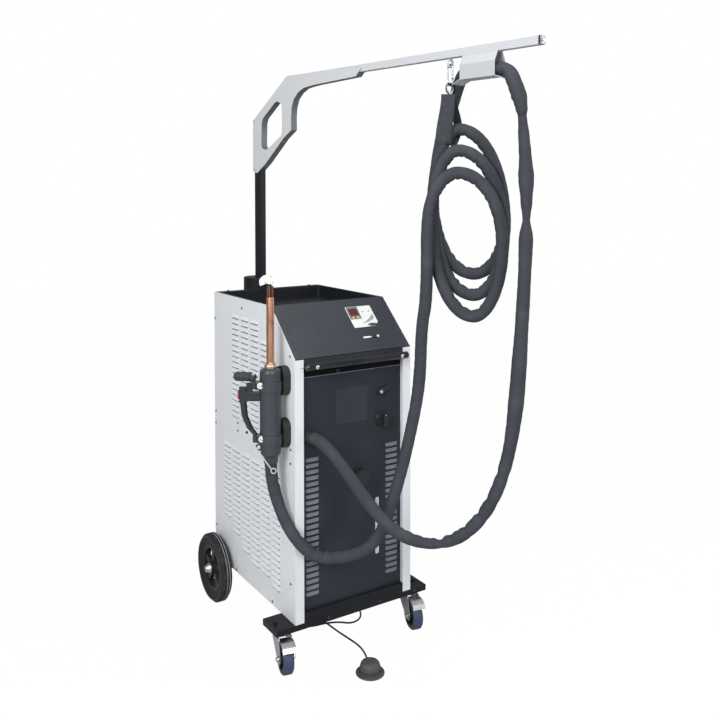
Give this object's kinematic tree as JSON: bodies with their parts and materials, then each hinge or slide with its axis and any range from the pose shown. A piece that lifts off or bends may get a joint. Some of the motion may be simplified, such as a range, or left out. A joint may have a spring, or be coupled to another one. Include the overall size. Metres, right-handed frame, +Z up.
{
  "type": "induction heater",
  "caption": "Mobile induction heater on castors with a swivelling hose arm, a coiled hose, a hand torch held on the side and a foot pedal.",
  "frame": {"origin": "on the floor under the middle of the cabinet", "axes": "+Z up, the control panel and front beam face -Y, the torch hangs on the -X side"},
  "size_m": [0.7477, 1.4328, 2.011],
  "materials": {
    "pale_paint": "satin powder coat",
    "dark_paint": "satin powder coat",
    "grey_paint": "satin powder coat",
    "black_paint": "satin powder coat",
    "zinc": "zinc plated",
    "steel": "plain",
    "chrome": "polished",
    "black_plastic": "moulded",
    "torch_plastic": "moulded",
    "red_plastic": "moulded",
    "blue_display": "window",
    "clear_window": "clear",
    "white_plastic": "translucent tank",
    "hose_fabric": "woven sleeve",
    "webbing": "webbing",
    "cable_rubber": "cable sheath",
    "pedal_rubber": "moulded",
    "tyre_rubber": "solid tyre",
    "tread_rubber": "tread",
    "copper": "copper pipe",
    "ceramic": "sleeved coil",
    "aluminium": "finned core",
    "cast": "painted motor"
  },
  "bodies": {
    "chassis": {"left_side_panel": "pale_paint", "right_side_panel": "pale_paint", "front_panel": "dark_paint", "control_panel": "grey_paint", "top_tray": "black_paint", "rear_panel": "pale_paint", "base_plate": "grey_paint", "front_beam": "black_paint", "rear_axle": "zinc", "push_bar": "black_paint", "keypad": "black_plastic", "display_window": "blue_display", "main_switch_base": "black_plastic", "hose_gland": "black_plastic", "coolant_tank": "white_plastic", "level_window": "clear_window", "coolant_pump": "cast", "radiator": "aluminium", "inverter_module": "aluminium", "transformer": "cast", "mast_socket": "black_paint", "torch_holders": "black_plastic", "bracket_bolts": "zinc", "cable_glands": "black_plastic", "pedal_base": "black_plastic", "hose_feed": "hose_fabric", "hose_drop": "hose_fabric", "hose_tail": "hose_fabric", "pedal_cable": "cable_rubber"},
    "main_switch": {"main_switch_knob": "black_plastic"},
    "latch": {"latch_lever": "chrome"},
    "tank_cap": {"tank_cap": "black_plastic"},
    "fan": {"fan_rotor": "black_plastic"},
    "pedal": {"pedal_dome": "pedal_rubber"},
    "arm": {"mast": "black_paint", "head_bracket": "pale_paint", "arm_tube": "pale_paint", "arm_end_cap": "black_plastic", "hose_saddle": "pale_paint", "carabiner": "steel", "sling": "webbing", "hose_coil": "hose_fabric"},
    "gate": {"carabiner_gate": "steel"},
    "torch": {"torch_housing": "torch_plastic", "torch_barrel": "copper", "inductor": "ceramic", "torch_clamps": "black_plastic", "torch_handle": "torch_plastic"},
    "torch_button": {"torch_button": "red_plastic"},
    "side_grip": {"side_grip": "black_plastic"},
    "castor_left": {"castor_fork_left": "zinc"},
    "castor_wheel_left": {"castor_wheel_left": "tread_rubber"},
    "castor_brake_left": {"castor_brake_left": "chrome"},
    "rear_wheel_left": {"rear_rim_left": "black_plastic", "rear_tyre_left": "tyre_rubber"},
    "castor_right": {"castor_fork_right": "zinc"},
    "castor_wheel_right": {"castor_wheel_right": "tread_rubber"},
    "castor_brake_right": {"castor_brake_right": "chrome"},
    "rear_wheel_right": {"rear_rim_right": "black_plastic", "rear_tyre_right": "tyre_rubber"}
  },
  "joints": [
    {"name": "mast_swivel", "type": "hinge", "parent": "chassis", "child": "arm", "pos_m": [0, 0.394, 0.96], "axis": [0, 0, 1], "range_deg": [-35, 35], "deforming": ["hose_feed", "hose_drop"]},
    {"name": "torch_lift", "type": "slide", "parent": "chassis", "child": "torch", "axis": [-1, 0, 0], "range_m": [0, 0.06], "deforming": ["hose_tail"]},
    {"name": "torch_button_press", "type": "slide", "parent": "torch", "child": "torch_button", "axis": [0.8415, -0.5402, 0], "range_m": [0, 0.003], "stiffness_N_per_m": 600},
    {"name": "side_grip_turn", "type": "hinge", "parent": "torch", "child": "side_grip", "pos_m": [-0.33697, -0.23921, 0.957], "axis": [0, 0, 1], "range_deg": [-35, 80]},
    {"name": "carabiner_gate_swing", "type": "hinge", "parent": "arm", "child": "gate", "pos_m": [0.18548, -0.61662, 1.918], "axis": [-0.9836, -0.1805, 0], "range_deg": [0, 25], "stiffness_Nm_per_rad": 0.05},
    {"name": "main_switch_turn", "type": "hinge", "parent": "chassis", "child": "main_switch", "pos_m": [0.1174, -0.313, 0.7695], "axis": [0, 1, 0], "range_deg": [0, 90]},
    {"name": "latch_turn", "type": "hinge", "parent": "chassis", "child": "latch", "pos_m": [0.1116, -0.313, 0.8665], "axis": [0, 1, 0], "range_deg": [0, 90]},
    {"name": "tank_cap_turn", "type": "hinge", "parent": "chassis", "child": "tank_cap", "pos_m": [0.0233, -0.32, 0.583], "axis": [0, -1, 0], "range_deg": [0, 90]},
    {"name": "fan_spin", "type": "hinge", "parent": "chassis", "child": "fan", "pos_m": [0, 0.29, 0.43], "axis": [0, 1, 0], "continuous": true},
    {"name": "pedal_press", "type": "slide", "parent": "chassis", "child": "pedal", "axis": [0, 0, -1], "range_m": [0, 0.006], "stiffness_N_per_m": 1500},
    {"name": "castor_swivel_left", "type": "hinge", "parent": "chassis", "child": "castor_left", "pos_m": [-0.257, -0.278, 0.112], "axis": [0, 0, 1], "continuous": true},
    {"name": "castor_spin_left", "type": "hinge", "parent": "castor_left", "child": "castor_wheel_left", "pos_m": [-0.26719, -0.32593, 0.05], "axis": [0.9781, -0.2079, 0], "continuous": true},
    {"name": "castor_brake_press_left", "type": "hinge", "parent": "castor_left", "child": "castor_brake_left", "pos_m": [-0.26532, -0.31713, 0.106], "axis": [0.9781, -0.2079, 0], "range_deg": [0, 10]},
    {"name": "rear_spin_left", "type": "hinge", "parent": "chassis", "child": "rear_wheel_left", "pos_m": [-0.266, 0.257, 0.125], "axis": [1, 0, 0], "continuous": true},
    {"name": "castor_swivel_right", "type": "hinge", "parent": "chassis", "child": "castor_right", "pos_m": [0.257, -0.278, 0.112], "axis": [0, 0, 1], "continuous": true},
    {"name": "castor_spin_right", "type": "hinge", "parent": "castor_right", "child": "castor_wheel_right", "pos_m": [0.24681, -0.32593, 0.05], "axis": [0.9781, -0.2079, 0], "continuous": true},
    {"name": "castor_brake_press_right", "type": "hinge", "parent": "castor_right", "child": "castor_brake_right", "pos_m": [0.24868, -0.31713, 0.106], "axis": [0.9781, -0.2079, 0], "range_deg": [0, 10]},
    {"name": "rear_spin_right", "type": "hinge", "parent": "chassis", "child": "rear_wheel_right", "pos_m": [0.266, 0.257, 0.125], "axis": [1, 0, 0], "continuous": true}
  ]
}
